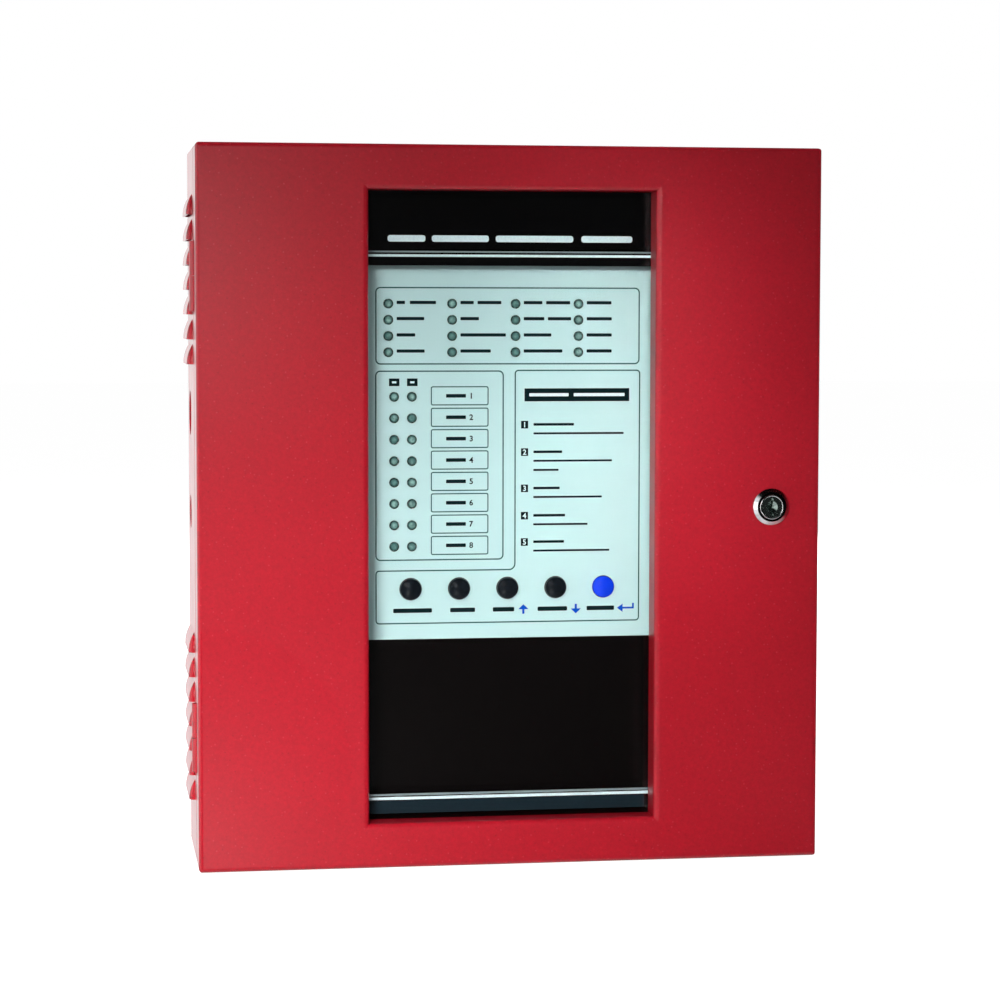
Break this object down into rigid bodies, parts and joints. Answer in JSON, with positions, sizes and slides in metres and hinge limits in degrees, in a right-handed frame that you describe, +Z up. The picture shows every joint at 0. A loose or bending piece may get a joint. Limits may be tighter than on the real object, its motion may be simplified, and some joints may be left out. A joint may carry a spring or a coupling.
{
  "type": "fire alarm control panel",
  "caption": "Red sheet-steel wall cabinet with a keyed, hinged door and a tall clear window over indicator lamps and round keys; boards, transformer and batteries inside.",
  "frame": {"origin": "centre of the cabinet's back face, in the plane of the wall", "axes": "+X to the right as seen from the front, +Y into the wall, +Z up; the door faces -Y"},
  "size_m": [0.316, 0.0947, 0.3568],
  "materials": {
    "red_enamel": "fine-textured red powder coat",
    "black_enamel": "satin black paint",
    "zinc_steel": "bright zinc plating",
    "lock_chrome": "polished chrome plating",
    "lock_plug_metal": "dull nickel plating",
    "black_rubber": "matt moulded rubber",
    "clear_acrylic": "clear polished sheet",
    "overlay_film": "printed polyester film",
    "circuit_board": "solder-masked glass-epoxy laminate",
    "led_epoxy": "diffused epoxy",
    "black_moulding": "black moulded plastic",
    "key_black": "fine matt moulding",
    "key_blue": "fine matt moulding",
    "ribbon_grey": "ribbed PVC",
    "terminal_green": "moulded nylon",
    "terminal_cream": "moulded nylon",
    "fuse_glass": "clear glass tube with plated caps",
    "capacitor_sleeve": "shrunk PVC sleeve",
    "core_steel": "varnished laminations",
    "winding_tape": "copper winding under yellow tape",
    "battery_case": "textured ABS",
    "lead_red": "PVC insulation",
    "lead_yellow": "PVC insulation",
    "brass": "turned brass"
  },
  "bodies": {
    "cabinet": {"back_panel": "red_enamel", "left_side_panel": "red_enamel", "right_side_panel": "red_enamel", "top_panel": "red_enamel", "bottom_panel": "red_enamel", "front_frame": "red_enamel", "cabinet_hinge_leaves": "red_enamel", "hinge_pins": "zinc_steel", "bump_stops": "black_rubber", "cable_grommets": "black_rubber", "display_plate": "black_enamel", "display_plate_screws": "zinc_steel", "overlay_label": "overlay_film", "display_board": "circuit_board", "display_board_standoffs": "zinc_steel", "board_screws": "zinc_steel", "status_leds": "led_epoxy", "zone_leds": "led_epoxy", "key_switches": "black_moulding", "ribbon_sockets": "black_moulding", "ribbon_cable": "ribbon_grey", "main_board": "circuit_board", "main_board_standoffs": "zinc_steel", "zone_terminals": "terminal_green", "output_terminals": "terminal_green", "power_terminals": "terminal_green", "terminal_screws": "zinc_steel", "relays": "black_moulding", "fuse_clips": "zinc_steel", "fuses": "fuse_glass", "capacitors": "capacitor_sleeve", "chips": "black_moulding", "sounder": "black_moulding", "transformer_core": "core_steel", "transformer_winding": "winding_tape", "transformer_clamp": "zinc_steel", "mains_terminal_block": "terminal_cream", "chassis_screws": "zinc_steel", "batteries": "battery_case", "battery_tabs": "zinc_steel", "battery_strap": "zinc_steel", "battery_leads": "lead_red", "transformer_leads": "lead_yellow", "earth_stud": "brass"},
    "door": {"door_pan": "red_enamel", "door_hinge_leaves": "red_enamel", "pane_gasket": "black_rubber", "window_pane": "clear_acrylic", "pane_studs": "zinc_steel", "pane_nuts": "zinc_steel", "lock_housing": "lock_chrome", "lock_nut": "zinc_steel"},
    "lock_cylinder": {"lock_plug": "lock_plug_metal", "lock_cam": "zinc_steel", "cam_bolt": "zinc_steel"},
    "silence_button": {"silence_key": "key_black"},
    "mute_button": {"mute_key": "key_black"},
    "test_button": {"test_key": "key_black"},
    "reset_button": {"reset_key": "key_black"},
    "mode_button": {"mode_key": "key_blue"}
  },
  "joints": [
    {"name": "door_hinge", "type": "hinge", "parent": "cabinet", "child": "door", "pos_m": [-0.1532, -0.0705, 0], "axis": [0, 0, -1], "range_deg": [0, 105]},
    {"name": "lock_turn", "type": "hinge", "parent": "door", "child": "lock_cylinder", "pos_m": [0.1297, -0.078, -0.0005], "axis": [0, -1, 0], "range_deg": [0, 90]},
    {"name": "silence_press", "type": "slide", "parent": "cabinet", "child": "silence_button", "axis": [0, 1, 0], "range_m": [0, 0.001], "stiffness_N_per_m": 600, "springref_m": -0.001},
    {"name": "mute_press", "type": "slide", "parent": "cabinet", "child": "mute_button", "axis": [0, 1, 0], "range_m": [0, 0.001], "stiffness_N_per_m": 600, "springref_m": -0.001},
    {"name": "test_press", "type": "slide", "parent": "cabinet", "child": "test_button", "axis": [0, 1, 0], "range_m": [0, 0.001], "stiffness_N_per_m": 600, "springref_m": -0.001},
    {"name": "reset_press", "type": "slide", "parent": "cabinet", "child": "reset_button", "axis": [0, 1, 0], "range_m": [0, 0.001], "stiffness_N_per_m": 600, "springref_m": -0.001},
    {"name": "mode_press", "type": "slide", "parent": "cabinet", "child": "mode_button", "axis": [0, 1, 0], "range_m": [0, 0.001], "stiffness_N_per_m": 600, "springref_m": -0.001}
  ]
}
